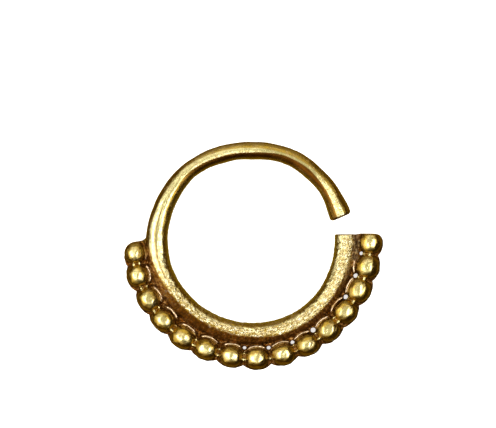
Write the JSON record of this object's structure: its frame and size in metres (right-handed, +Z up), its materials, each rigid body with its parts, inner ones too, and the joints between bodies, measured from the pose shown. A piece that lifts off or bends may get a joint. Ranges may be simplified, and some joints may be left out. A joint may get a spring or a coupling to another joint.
{
  "type": "nose ring",
  "caption": "Beaded septum ring in cast brass: a plain wire hoop that swells into a thick band edged with round balls, open at one side.",
  "frame": {"origin": "under the middle of the ring's outline, on the surface that the ring lies on", "axes": "+Z straight up through the hole of the hoop as it lies, +X across the hoop towards its open side, +Y from the ball row towards the plain upper wire"},
  "size_m": [0.0156, 0.0138, 0.0014],
  "materials": {
    "brass": "cast and polished, darkened in the recesses"
  },
  "bodies": {
    "root": {"nose_ring": "brass"}
  },
  "joints": []
}
